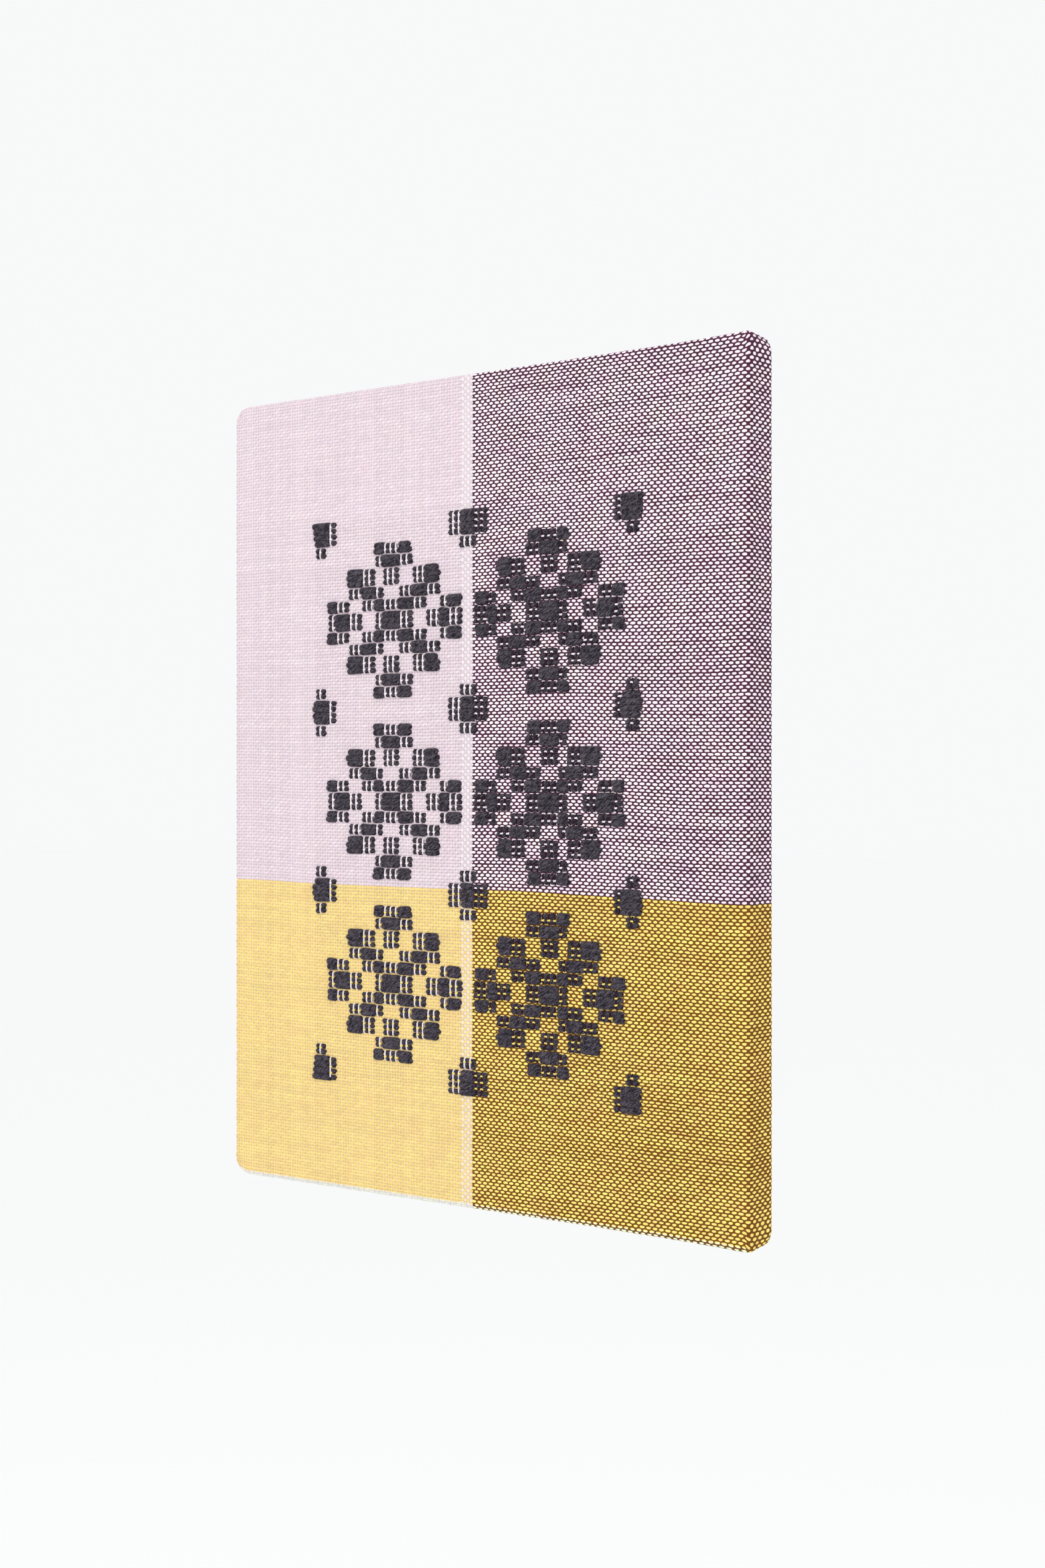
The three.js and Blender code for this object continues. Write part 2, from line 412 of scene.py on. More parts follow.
# outer rings from the face's edge to the turned edge: inset, y, tilt, relief, distance from the face's edge
outerRings = []
frontBend, backBend = frontFold * math.pi / 2, backFold * math.pi / 2
sideLength = depth - frontFold - backFold
turnFrom = frontBend + sideLength + backBend
turnLength = turnBack - sheet["cutRound"] - backFold
for k in range(1, sheet["frontSteps"] + 1):
    angle = k / sheet["frontSteps"] * math.pi / 2
    outerRings.append((
        frontFold * (1 - math.sin(angle)), frontFold - depth - frontFold * math.cos(angle),
        k / sheet["frontSteps"], sheet["sideRelief"][0], angle * frontFold,
    ))
for k in range(1, sheet["sideSteps"] + 1):
    along = sideLength * k / sheet["sideSteps"]
    outerRings.append((0.0, frontFold - depth + along, 1.0, sheet["sideRelief"][1], frontBend + along))
for k in range(1, sheet["backSteps"] + 1):
    angle = k / sheet["backSteps"] * math.pi / 2
    outerRings.append((
        backFold * (1 - math.cos(angle)), backFold * (math.sin(angle) - 1),
        1 + k / sheet["backSteps"], sheet["sideRelief"][2], frontBend + sideLength + angle * backFold,
    ))
turnStart = len(outerRings)
for k in range(1, sheet["turnSteps"] + 1):
    along = turnLength * k / sheet["turnSteps"]
    outerRings.append((backFold + along, 0.0, 2.0, sheet["sideRelief"][3], turnFrom + along))

# the cut edge, then the inner rings back to the face: inset, y and distance from the face's edge
cutAt = turnFrom + turnLength
cutRings = [
    (turnBack, -sheet["cutRound"], cutAt + sheet["cutStep"]),
    (turnBack, sheet["cutRound"] - thickness, cutAt + 2 * sheet["cutStep"]),
]
innerRings = [
    (turnBack - sheet["cutSetback"], -thickness, cutAt),
    (sheet["innerStop"], -thickness, turnFrom + sheet["innerStop"] - backFold),
    (backFold, -thickness, turnFrom),
    (thickness, -backFold, frontBend + sideLength),
    (thickness, frontFold - depth, frontBend),
    (frontFold, thickness - depth, 0.0),
]


def unevenLift(over, share=1.0):
    # a crossing stands up where the weft goes over the warp and lies lower where it goes under
    height = np.where(over, sheet["relief"], -sheet["relief"]) * share
    return height * (1 + sheet["reliefVaries"] * rng.normal(0, 1, over.shape))


def faceGrid(step, side):
    # the face at every step of the threads: its places before and after the corners are rounded
    column, row = np.meshgrid(np.arange(0, ends, step), np.arange(0, picks, step))
    x, z = -fullWidth + column * endPitch, fullHeight - row * pickPitch
    inset = np.minimum(panel["halfWidth"] - np.abs(x), panel["halfHeight"] - np.abs(z))
    roundX, roundZ, _, _ = roundOff(x, z, inset, 0.0, 0.0)
    calm = np.clip((inset - frontFold) / sheet["calmEdge"], 0, 1)
    return {
        "x": x,
        "z": z,
        "roundX": roundX,
        "roundZ": roundZ,
        "calm": calm,
        "belly": calm * sheet["belly"] * waves(x, z, *sheet["bellyWaves"]),
        "over": (column + row) % 2 == 0,
        "thread": np.stack([column + 0.5, row + 0.5], -1).reshape(-1, 2),
        "flat": flatPoint(x, z, 0.0, side).reshape(-1, 2),
    }


def cellCorners(index):
    # upper left, upper right, lower left and lower right of each cell
    return index[:-1, :-1], index[:-1, 1:], index[1:, :-1], index[1:, 1:]


def addCells(grid, index, corners):
    triangles = corners.reshape(-1, 3)
    inOrder = triangles - index[0, 0]
    addTriangles(triangles, grid["thread"][inOrder], grid["flat"][inOrder])


def onBorder(values, walk):
    return values[walk[:, 1], walk[:, 0]]


# the face
face = faceGrid(1, "outer")
squareX, squareZ, calm = face["x"], face["z"], face["calm"]
faceX = face["roundX"] + calm * sheet["lean"] * waves(squareX, squareZ, *sheet["leanWaves"])
sway = waves(squareX, squareZ * sheet["swayStretch"], *sheet["swayWaves"])
faceZ = face["roundZ"] + calm * sheet["sway"] * sway
faceX = faceX + calm * rng.normal(0, sheet["jitter"], faceX.shape)
faceZ = faceZ + calm * rng.normal(0, sheet["jitter"] * sheet["jitterDown"], faceZ.shape)
faceY = -depth - (unevenLift(face["over"]) + face["belly"])
facePoints = np.stack([faceX, faceY, faceZ], -1).reshape(-1, 3)
faceIndex = addPoints(facePoints).reshape(picks, ends)
upperLeft, upperRight, lowerLeft, lowerRight = cellCorners(faceIndex)
leftIsHigh = face["over"][:-1, :-1, None]
for whereHigh, elsewhere in (
    ((upperLeft, lowerLeft, upperRight), (upperLeft, lowerLeft, lowerRight)),
    ((upperRight, lowerLeft, lowerRight), (upperLeft, lowerRight, upperRight)),
):
    addCells(face, faceIndex, np.where(leftIsHigh, np.stack(whereHigh, -1), np.stack(elsewhere, -1)))

# the rings round it
walk = borderWalk(ends, picks)
borderX, borderZ = onBorder(face["x"], walk), onBorder(face["z"], walk)


def threadsAt(points):
    # the end and the pick at each point of a level stretch
    across, down = points[:, 0] / endPitch, points[:, 2] / pickPitch
    return np.stack([middleEnd + 0.5 + across, middlePick + 0.5 - down], -1)


def ringThreads(steps, points, number):
    # thread coordinates of a ring's points, read as part of the side that each quad lies on
    if number <= turnStart:
        u, v, away = steps[:, 0] + 0.5, steps[:, 1] + 0.5, number
    else:
        u, v = threadsAt(points).T
        away = turnStart + (number - turnStart) * sheet["threadsPerStep"]
    side = walk[:, 2]
    u = np.where(side == 1, 0.5 - away, np.where(side == 3, ends - 0.5 + away, u))
    v = np.where(side == 0, 0.5 - away, np.where(side == 2, picks - 0.5 + away, v))
    return np.stack([u, v], -1)


def outerRing(index, points, number, distance):
    return {
        "index": index,
        "thread": ringThreads(walk, points, number),
        "nextThread": ringThreads(closeUp(walk), closeUp(points), number),
        "flat": flatPoint(borderX, borderZ, distance, "outer"),
    }


borderIndex = onBorder(faceIndex, walk)
near = outerRing(borderIndex, facePoints[borderIndex], 0, 0.0)
for number, (inset, y, tilt, relief, distance) in enumerate(outerRings, 1):
    drift = sheet["edgeDrift"] if number == len(outerRings) else 0.0
    crease = sheet["crease"] if number > turnStart else 0.0
    points, normals = ringPoints(walk, 1, inset, y, tilt, drift, crease)
    weftUp = (walk[:, 0] + walk[:, 1] + number) % 2 == 0
    moved = points + normals * unevenLift(weftUp, relief)[:, None]
    if tilt < 2:
        moved += rng.normal(0, sheet["jitter"] * sheet["jitterRound"], moved.shape)
    far = outerRing(addPoints(moved), points, number, distance)
    bridge(near, far, cutBack=~weftUp)
    near = far
for inset, y, distance in cutRings:
    points, _ = ringPoints(walk, 1, inset, y, 2.0, sheet["edgeDrift"])
    far = outerRing(addPoints(points), points, len(outerRings), distance)
    bridge(near, far)
    near = far

# the inner side, from the cut edge back to the face, with every second thread only
coarseWalk = borderWalk((ends + 1) // 2, (picks + 1) // 2)
inner = faceGrid(2, "inner")
innerPoints = np.stack([inner["roundX"], thickness - depth - inner["belly"], inner["roundZ"]], -1)
innerIndex = addPoints(innerPoints.reshape(-1, 3)).reshape(inner["x"].shape)
upperLeft, upperRight, lowerLeft, lowerRight = cellCorners(innerIndex)
for corners in ((upperLeft, upperRight, lowerLeft), (upperRight, lowerRight, lowerLeft)):
    addCells(inner, innerIndex, np.stack(corners, -1))
coarseX, coarseZ = onBorder(inner["x"], coarseWalk), onBorder(inner["z"], coarseWalk)

fine, near = near, None
for inset, y, distance in innerRings:
    points, _ = ringPoints(coarseWalk, 2, inset, y, 2.0, sheet["edgeDrift"] if near is None else 0.0)
    isFace = distance == 0
    index = onBorder(innerIndex, coarseWalk) if isFace else addPoints(points)
    thread = threadsAt(points)
    flat = flatPoint(coarseX, coarseZ, distance, "inner")
    far = {"index": index, "thread": thread, "nextThread": closeUp(thread), "flat": flat}
    if near is None:
        # two steps of the cut edge to one step of the inner side
        start, halfway, end = fine["index"][0::2], fine["index"][1::2], closeUp(fine["index"][0::2])
        nextIndex, nextThread, nextFlat = closeUp(index), closeUp(thread), closeUp(flat)
        halfThread, halfFlat = (thread + nextThread) / 2, (flat + nextFlat) / 2
        for corners, threads, flats in (
            ((start, index, halfway), (thread, thread, halfThread), (flat, flat, halfFlat)),
            ((halfway, index, nextIndex), (halfThread, thread, nextThread), (halfFlat, flat, nextFlat)),
            ((halfway, nextIndex, end), (halfThread, nextThread, nextThread), (halfFlat, nextFlat, nextFlat)),
        ):
            addTriangles(np.stack(corners, 1), np.stack(threads, 1), np.stack(flats, 1))
    else:
        bridge(near, far)
    near = far

allPoints = np.concatenate(pieces["points"])
upward = np.clip(allPoints[:, 2] / panel["halfHeight"], -1, 1)
flare = sheet["flare"] * np.exp((allPoints[:, 0] - panel["halfWidth"]) / sheet["flareLength"])
allPoints[:, 2] += flare * upward ** sheet["flarePower"]
allPoints[:, 2] += panel["middle"]
allTriangles = np.concatenate(pieces["triangles"])
allThreads = np.concatenate(pieces["threads"]).reshape(-1, 2)
allFlat = np.concatenate(pieces["flat"]).reshape(-1, 2)

# the picks aren't quite level: they sag towards the right edge and rise towards the left one
sag = sheet["rightSag"] * ramp(allThreads[:, 0], ends * sheet["sagFrom"], ends)
sag -= sheet["leftRise"] * ramp(allThreads[:, 0], firstEnd, 0)
sagTop, sagFoot = (picks * share for share in sheet["sagBetween"])
allThreads[:, 1] -= sag * ramp(allThreads[:, 1], 0, sagTop) * ramp(allThreads[:, 1], picks, sagFoot)


def meshFrom(name, points, triangles):
    mesh = bpy.data.meshes.new(name)
    mesh.vertices.add(len(points))
    mesh.vertices.foreach_set("co", np.asarray(points, np.float32).ravel())
    mesh.loops.add(triangles.size)
    mesh.loops.foreach_set("vertex_index", triangles.astype(np.int32).ravel())
    mesh.polygons.add(len(triangles))
    mesh.polygons.foreach_set("loop_start", np.arange(0, triangles.size, 3, dtype=np.int32))
    mesh.update(calc_edges=True)
    mesh.validate()
    mesh.shade_smooth()
    return mesh


clothMesh = meshFrom("wovenCloth", allPoints, allTriangles)
for name, values in (("OFBake", allFlat), ("thread", allThreads)):
    layer = clothMesh.uv_layers.new(name=name)
    layer.data.foreach_set("uv", values.astype(np.float32).ravel())
cloth = addObject("wovenClothPiece", clothMesh)
print("cloth:", len(allPoints), "vertices,", len(allTriangles), "triangles")

# the cloth's finish: plain weave, coloured thread by thread, with its sizes in threads
clothFinish = {
    "pinkWeft": (0.89, 0.782, 0.845, 1),
    "yellowWeft": (0.90, 0.72, 0.195, 1),
    "mintWeft": (0.86, 0.94, 0.66, 1),
    "paleWarp": (0.70, 0.60, 0.64, 1),
    "whiteWarp": (0.75, 0.68, 0.71, 1),
    "plumWarp": (0.080, 0.025, 0.050, 1),
    "plumByYellow": (0.19, 0.070, 0.010, 1),  # the plum warp in the light that the yellow weft throws on it
    "pinkOverPale": (0.805, 0.785, 0.775, 1),  # how much duller the weft looks over the pale warp
    "yellowOverPale": (0.91, 0.85, 1.06, 1),
    "gapPaintedShade": (0.80, 0.75, 0.78, 1),  # painted shade: how much darker the gaps between the threads are than the warp
    "behindPattern": (0.10, 0.07, 0.085, 1),  # pattern weft seen through the ground where it lies behind
    "insidePattern": 0.08,  # how much of it shows
    "plumFrom": 91,  # the first plum end
    "whiteEnds": 4,  # thick white ends beside it
    "yellowFrom": 159,  # the first yellow pick
    "mintFrom": (256.3, 256.8),  # where the yellow turns to mint
    "strayScale": 0.35,
    "stray": (0.30, 0.22, 0.0),  # how far the threads stray, across and down
    "ovalAcross": (0.63, 0.72),  # half the length of the weft's oval, over the pale warp and the plum
    "ovalDown": (0.435, 0.395),  # and half its height
    "ovalPower": 2.3,  # 2 is an ellipse, and more is squarer
    "ovalRim": (0.82, 1.18),  # how soft its edge is
    "acrossVaries": 0.09,
    "downVaries": 0.025,
    "beatScale": (0.09, 0.03, 0.0),
    "beatVaries": 0.05,  # how much its length changes in slow patches
    "streakScale": (0.022, 0.6, 0.0),
    "streakFrom": (0.55, 0.72),
    "streak": 0.07,  # how much flatter it is along the stretches of a pick that were beaten in hard
    "sideShorter": 0.10,  # how much shorter it is where the cloth is drawn round the right side
    "whiteShorter": (0.34, 0.14),  # and over the white ends, in pink and in yellow
    "slantScale": (0.03, 0.03, 0.0),
    "slant": (0.55, 0.06),  # how far its ends slope with the yarn's twist, over the pale warp and the plum
    "slantVaries": 0.25,
    "spotAcross": (0.36, 0.54),  # the warp's spot: half its length over thin ends and over the white ones
    "spotDown": (0.56, 0.86),
    "spotRim": (0.35, 1.1),
    "spotRise": 0.7,
    "patchScale": 0.13,  # soft patches of tint in the weft
    "patchSpread": (0.22, 0.30, 0.26),
    "patchBase": (0.89, 0.85, 0.87),
    "patchFaded": 0.6,  # how much weaker they are over the pale warp
    "ovalTones": (0.94, 1.05),  # how light each oval, pick and end is
    "pickTones": (0.0, 0.06),
    # painted shade at the rim of each oval, where the weft dips between the threads
    "rimPaintedShade": 0.74,
    "endTones": (0.93, 1.03),
    "weftBounceLight": (0.3, 0.8),  # painted light bounced off the weft: how much of the weft's colour the pale warp takes on, in pink and in yellow
    "whiteBounceLight": 0.4,  # and the white ends, in yellow
    "fuzzScale": 3.1,
    "fuzz": 0.15,
    "bump": 0.00025,
    "bumpShare": (0.4, 1.0),  # over the pale warp and the plum
}


def readWeave(tree, look):
    # which oval of the weft a place is in, where in it, and which colours of warp and weft cross there
    m = mathIn(tree)

    def lotFor(first, second):
        key = vectorOf(tree, first, second)
        return addNode(tree, "ShaderNodeTexWhiteNoise", {"Vector": key}, noise_dimensions="2D").outputs

    at = {"uvMap": addNode(tree, "ShaderNodeUVMap", uv_map="thread").outputs[0]}
    stray = noise(tree, at["uvMap"], look["strayScale"], dimensions="2D").outputs["Color"]
    shift = scaled(tree, centred(tree, stray), look["stray"])
    u, v, _ = partsOf(tree, vectorCalc(tree, "ADD", at["uvMap"], shift))
    rowNumber = m("FLOOR", v)
    slot = m("DIVIDE", m("SUBTRACT", m("SUBTRACT", u, 0.5), m("FLOORED_MODULO", rowNumber, 2.0)), 2.0)
    cell = m("ROUND", slot)
    at["u"], at["v"] = u, v
    at["down"] = m("SUBTRACT", m("SUBTRACT", v, rowNumber), 0.5)
    at["along"] = m("MULTIPLY", m("SUBTRACT", slot, cell), 2.0)
    at["lot"] = addNode(tree, "ShaderNodeSeparateColor", {0: lotFor(cell, rowNumber)["Color"]}).outputs
    # the fixed numbers only keep the picks' draws and the ends' apart
    at["rowLot"] = lotFor(7.0, rowNumber)["Value"]
    at["endLot"] = lotFor(m("FLOOR", u), 3.0)["Value"]
    at["plum"] = m("GREATER_THAN", u, float(look["plumFrom"]))
    white = m("GREATER_THAN", u, float(look["plumFrom"] - look["whiteEnds"]))
    at["white"] = m("MULTIPLY", white, m("SUBTRACT", 1.0, at["plum"]))
    at["yellow"] = m("GREATER_THAN", v, float(look["yellowFrom"]))
    at["mint"] = ease(tree, v, *look["mintFrom"])
    return at


def shapeWeave(tree, look, at):
    # how much of the weft's oval and of the warp's spot shows at a place, and how high each stands
    m = mathIn(tree)

    def slowly(scales, roughness):
        return noise(tree, scaled(tree, at["uvMap"], scales), 1.0, 2.0, roughness, "2D").outputs[0]

    def change(value, share, amount):
        return m("ADD", value, between(tree, share, -amount, amount))

    def powerOf(distance, size, power):
        return m("POWER", m("DIVIDE", m("ABSOLUTE", distance), size), power)

    def heightIn(shape):
        return m("SQRT", m("MAXIMUM", m("SUBTRACT", 1.0, shape), 0.0))

    slant = between(tree, at["plum"], *look["slant"])
    slant = change(slant, slowly(look["slantScale"], 0.5), look["slantVaries"])
    slanted = m("MULTIPLY_ADD", at["down"], slant, at["along"])
    across = between(tree, at["plum"], *look["ovalAcross"])
    across = change(across, at["lot"][0], look["acrossVaries"])
    across = change(across, slowly(look["beatScale"], 0.6), look["beatVaries"])
    whiteShorter = between(tree, at["yellow"], *look["whiteShorter"])
    across = m("SUBTRACT", across, m("MULTIPLY", at["white"], whiteShorter))
    onSide = m("GREATER_THAN", at["u"], float(ends))
    across = m("SUBTRACT", across, m("MULTIPLY", onSide, look["sideShorter"]))
    high = between(tree, at["plum"], *look["ovalDown"])
    high = change(high, at["lot"][1], look["downVaries"])
    high = change(high, at["rowLot"], look["downVaries"])
    streak = ease(tree, slowly(look["streakScale"], 0.6), *look["streakFrom"], 0.0, look["streak"])
    high = m("SUBTRACT", high, streak)
    oval = m("ADD", powerOf(slanted, across, look["ovalPower"]), powerOf(at["down"], high, look["ovalPower"]))
    weftShown = ease(tree, oval, *look["ovalRim"], 1.0, 0.0)

    beside = m("SUBTRACT", 1.0, m("ABSOLUTE", at["along"]))
    spotAcross = between(tree, at["white"], *look["spotAcross"])
    spotDown = between(tree, at["white"], *look["spotDown"])
    spot = m("ADD", powerOf(beside, spotAcross, 2.0), powerOf(at["down"], spotDown, 2.0))
    warpShown = ease(tree, spot, *look["spotRim"], 1.0, 0.0)
    return weftShown, heightIn(oval), warpShown, m("MULTIPLY", heightIn(spot), look["spotRise"])


def colourWeave(tree, look, at, weftHeight):
    # the weft's colour, the warp's, and that of the gaps
    m = mathIn(tree)
    plum, white, yellow = at["plum"], at["white"], at["yellow"]
    patch = noise(tree, at["uvMap"], look["patchScale"], 3.0, 0.6, "2D").outputs["Color"]
    tint = vectorCalc(tree, "ADD", scaled(tree, patch, look["patchSpread"]), look["patchBase"])
    tint = mixColour(tree, between(tree, plum, look["patchFaded"], 0.0), tint, (1, 1, 1, 1))
    weft = mixColour(tree, yellow, look["pinkWeft"], look["yellowWeft"])
    weft = mixColour(tree, at["mint"], weft, look["mintWeft"])
    weft = mixColour(tree, 1.0, weft, tint, "MULTIPLY")
    overPale = mixColour(tree, yellow, look["pinkOverPale"], look["yellowOverPale"])
    weft = mixColour(tree, 1.0, weft, mixColour(tree, plum, overPale, (1, 1, 1, 1)), "MULTIPLY")
    pickTone = between(tree, at["rowLot"], *look["pickTones"])
    weftFlat = shaded(tree, weft, m("ADD", between(tree, at["lot"][2], *look["ovalTones"]), pickTone))
    # painted shade: each oval is darker towards its rim
    weft = shaded(tree, weftFlat, between(tree, weftHeight, look["rimPaintedShade"], 1.0))

    # on the pale side the warp takes on the weft's colour as painted light bounced off the weft, and on the
    # plum side it stays dark
    paleWarp = mixColour(tree, white, look["paleWarp"], look["whiteWarp"])
    weftBounceLight = m("MULTIPLY", m("SUBTRACT", 1.0, white), between(tree, yellow, *look["weftBounceLight"]))
    paleWarp = mixColour(tree, weftBounceLight, paleWarp, weftFlat)
    # painted light bounced off the yellow weft onto the white ends
    whiteBounceLight = m("MULTIPLY", m("MULTIPLY", white, yellow), look["whiteBounceLight"])
    paleWarp = mixColour(tree, whiteBounceLight, paleWarp, weftFlat)
    plumWarp = mixColour(tree, yellow, look["plumWarp"], look["plumByYellow"])
    warp = mixColour(tree, plum, paleWarp, plumWarp)
    warp = shaded(tree, warp, between(tree, at["endLot"], *look["endTones"]))
    # painted shade: the gaps between the threads are the warp colour darkened
    gap = mixColour(tree, 1.0, warp, look["gapPaintedShade"], "MULTIPLY")

    # dark wool behind the ground shows in its gaps inside the pattern
    topPick = middlePick + 0.5 - (patternTop - panel["middle"]) / pickPitch
    footPick = topPick + len(pickBlocks) * weave["picksPerPattern"]
    inside = look["insidePattern"]
    for place, first, last in (
        (at["u"], firstEnd, firstEnd + len(endBlocks)),
        (at["v"], topPick, footPick),
    ):
        within = m("MULTIPLY", m("GREATER_THAN", place, first), m("LESS_THAN", place, last))
        inside = m("MULTIPLY", inside, within)
    return weft, warp, mixColour(tree, inside, gap, look["behindPattern"])


def makeClothFinish(look):
    material, tree, shader = newMaterial("wovenClothFinish")
    at = readWeave(tree, look)
    weftShown, weftHeight, warpShown, warpHeight = shapeWeave(tree, look, at)
    weft, warp, gap = colourWeave(tree, look, at, weftHeight)
    fuzz = noise(tree, at["uvMap"], look["fuzzScale"], 3.0, 0.7, "2D").outputs[0]
    height = calc(tree, "MAXIMUM", weftHeight, warpHeight)
    height = calc(tree, "MULTIPLY_ADD", fuzz, look["fuzz"], height)
    height = calc(tree, "MULTIPLY", height, between(tree, at["plum"], *look["bumpShare"]))
    feedAll(tree, shader, {
        "Base Color": mixColour(tree, weftShown, mixColour(tree, warpShown, gap, warp), weft),
        "Normal": bumped(tree, height, 0.8, look["bump"]),
        "Roughness": 0.95,
        "Specular IOR Level": 0.08,
        "Sheen Weight": 0.02,
    })
    return material


clothMesh.materials.append(makeClothFinish(clothFinish))

# the pattern weft: thick wool floats laid over the ground
wool = {
    "dark": (0.011, 0.0085, 0.015, 1),
    "light": (0.092, 0.078, 0.098, 1),
    "strandScale": (380.0, 900.0, 2400.0),  # along, through and across the fibres
    "strandShift": (40.0, 0.0, 90.0),  # how far one float's strands are shifted from the next one's
    "fluffScale": 1900.0,
    "fluff": 0.25,
    "toneFrom": (0.54, 0.74),
    "lean": math.radians(34),  # slope of the fibres
    "dotRadius": 0.00132,
    "floatRadius": 0.00148,
    "radiusVaries": (0.94, 1.05),
    "rise": 0.0006,  # how far a float's middle line stands off the face
    "dotRise": 0.00045,
    "backRise": (0.0002, 0.0004),  # on the reverse, for a float over one end and over more
    "riseVaries": (0.88, 1.12),
    "bedded": 0.0007,  # how deep its ends go in
    "climb": 0.0011,  # how far from its end it has come up in full
    "taper": 0.0012,  # how far from its end it is full thick, and how thin its tip is
    "tip": 0.66,
    "flat": 0.62,  # its thickness as a share of its height
    "reach": 0.00034,  # how far it goes past its outer ends
    "dotReach": 0.0004,
    "uneven": 0.0003,  # how much the reach varies, and what share of that for a dot
    "dotUneven": 0.4,
    "strays": 0.00008,  # how far it strays up or down
    "crowd": 0.00022,  # how far a block's first and last floats are drawn in
    "shorter": 0.0007,  # and how much shorter they are at each end
    "unevenness": 0.00018,  # of the yarn's surface
    "lumps": 700.0,
    "bump": 0.0005,
    "floatSteps": (4, 2),  # points along it: this many, and this many more for each end it covers
    "dotSteps": (5, 0),
    "backSteps": (3, 1),
    "seed": 4,
}


def makeWoolFinish(look):
    material, tree, shader = newMaterial("patternWool")
    place = addNode(tree, "ShaderNodeTexCoord").outputs["Object"]
    lot = addNode(tree, "ShaderNodeAttribute", attribute_name="lot").outputs["Fac"]
    turning = {"Vector": place, "Angle": look["lean"]}
    turned = addNode(tree, "ShaderNodeVectorRotate", turning, rotation_type="Y_AXIS").outputs[0]
    shift = scaled(tree, vectorOf(tree, lot, 0.0, lot), look["strandShift"])
    along = vectorCalc(tree, "ADD", scaled(tree, turned, look["strandScale"]), shift)
    strand = noise(tree, along, 1.0, 3.0, 0.65).outputs[0]
    fluff = noise(tree, place, look["fluffScale"], 2.0, 0.6).outputs[0]
    tone = ease(tree, calc(tree, "MULTIPLY_ADD", fluff, look["fluff"], strand), *look["toneFrom"])
    feedAll(tree, shader, {
        "Base Color": mixColour(tree, tone, look["dark"], look["light"]),
        "Normal": bumped(tree, strand, 0.9, look["bump"]),
        "Roughness": 0.95,
        "Specular IOR Level": 0.1,
        "Sheen Weight": 0.05,
    })
    return material


def newTree(name, **sockets):
    tree = bpy.data.node_groups.new(name, "GeometryNodeTree")
    tree.interface.new_socket("Geometry", in_out="INPUT", socket_type="NodeSocketGeometry")
    for label, kind in sockets.items():
        tree.interface.new_socket(label, in_out="INPUT", socket_type="NodeSocket" + kind)
    tree.interface.new_socket("Geometry", in_out="OUTPUT", socket_type="NodeSocketGeometry")
    return tree, tree.nodes.new("NodeGroupInput").outputs, tree.nodes.new("NodeGroupOutput")


def placed(tree, geometry, **values):
    # geometry with its points moved, by Offset or to Position
    return addNode(tree, "GeometryNodeSetPosition", {0: geometry, **values}).outputs[0]


def tubeAlong(tree, curve, radius, sides, caps):
    # a tube round a curve, of the radius given at each point
    thick = addNode(tree, "GeometryNodeSetCurveRadius", {0: curve, "Radius": radius})
    outline = addNode(tree, "GeometryNodeCurvePrimitiveCircle", {"Resolution": sides, "Radius": 1.0})
    values = {0: thick.outputs[0], "Profile Curve": outline.outputs[0], "Fill Caps": caps}
    tube = addNode(tree, "GeometryNodeCurveToMesh", values)
    # where the node has a scale of its own, the curve's radius goes in there
    if "Scale" in tube.inputs:
        feed(tree, tube.inputs["Scale"], addNode(tree, "GeometryNodeInputRadius").outputs[0])
    return tube.outputs[0]


def endTree(tree, result, geometry, material):
    real = addNode(tree, "GeometryNodeRealizeInstances", {0: geometry}).outputs[0]
    finished = addNode(tree, "GeometryNodeSetMaterial", {0: real, "Material": material}).outputs[0]
    tree.links.new(finished, result.inputs[0])


def makeYarnTree(material):
    # edges become yarns that rise out of the cloth, lie over it and go back in
    sizes = ("Bedded", "Climb", "Taper", "Tip", "Flat", "Surface", "Outwards", "Unevenness", "Lumps")
    tree, given, result = newTree("layYarns", **dict.fromkeys(sizes, "Float"), Sides="Int")
    m = mathIn(tree)

    def named(name, kind="FLOAT"):
        return addNode(tree, "GeometryNodeInputNamedAttribute", {"Name": name}, data_type=kind).outputs[0]

    curve = addNode(tree, "GeometryNodeMeshToCurve", {0: given[0]}).outputs[0]
    steps = named("steps", "INT")
    resampled = addNode(tree, "GeometryNodeResampleCurve", {0: curve, "Count": steps}).outputs[0]
    gone = addNode(tree, "GeometryNodeSplineParameter").outputs["Length"]
    total = addNode(tree, "GeometryNodeSplineLength").outputs[0]
    toEnd = m("MINIMUM", gone, m("SUBTRACT", total, gone))
    climb = m("ADD", named("rise"), given["Bedded"])
    away = m("SUBTRACT", m("MULTIPLY", climb, ease(tree, toEnd, 0.0, given["Climb"])), given["Bedded"])
    lift = vectorOf(tree, 0.0, m("MULTIPLY", away, given["Outwards"]))
    laid = placed(tree, resampled, Offset=lift)
    girth = m("MULTIPLY", named("girth"), ease(tree, toEnd, 0.0, given["Taper"], given["Tip"], 1.0))
    tube = tubeAlong(tree, laid, girth, given["Sides"], True)
    here = addNode(tree, "GeometryNodeInputPosition").outputs[0]
    x, y, z = partsOf(tree, here)
    fromFace = m("SUBTRACT", y, given["Surface"])
    flatY = m("ADD", given["Surface"], m("MULTIPLY", fromFace, given["Flat"]))
    flattened = placed(tree, tube, Position=vectorOf(tree, x, flatY, z))
    lumps = centred(tree, noise(tree, here, given["Lumps"], 1.0, 0.5).outputs["Color"])
    values = {0: lumps, "Scale": m("MULTIPLY", given["Unevenness"], 2.0)}
    uneven = addNode(tree, "ShaderNodeVectorMath", values, operation="SCALE").outputs[0]
    roughened = placed(tree, flattened, Offset=uneven)
    smooth = addNode(tree, "GeometryNodeSetShadeSmooth", {0: roughened}).outputs[0]
    endTree(tree, result, smooth, material)
    return tree


def socketsFrom(look, names):
    # a dictionary's values, for the tree's inputs of the same names
    return {name.capitalize(): look[name] for name in names.split()}


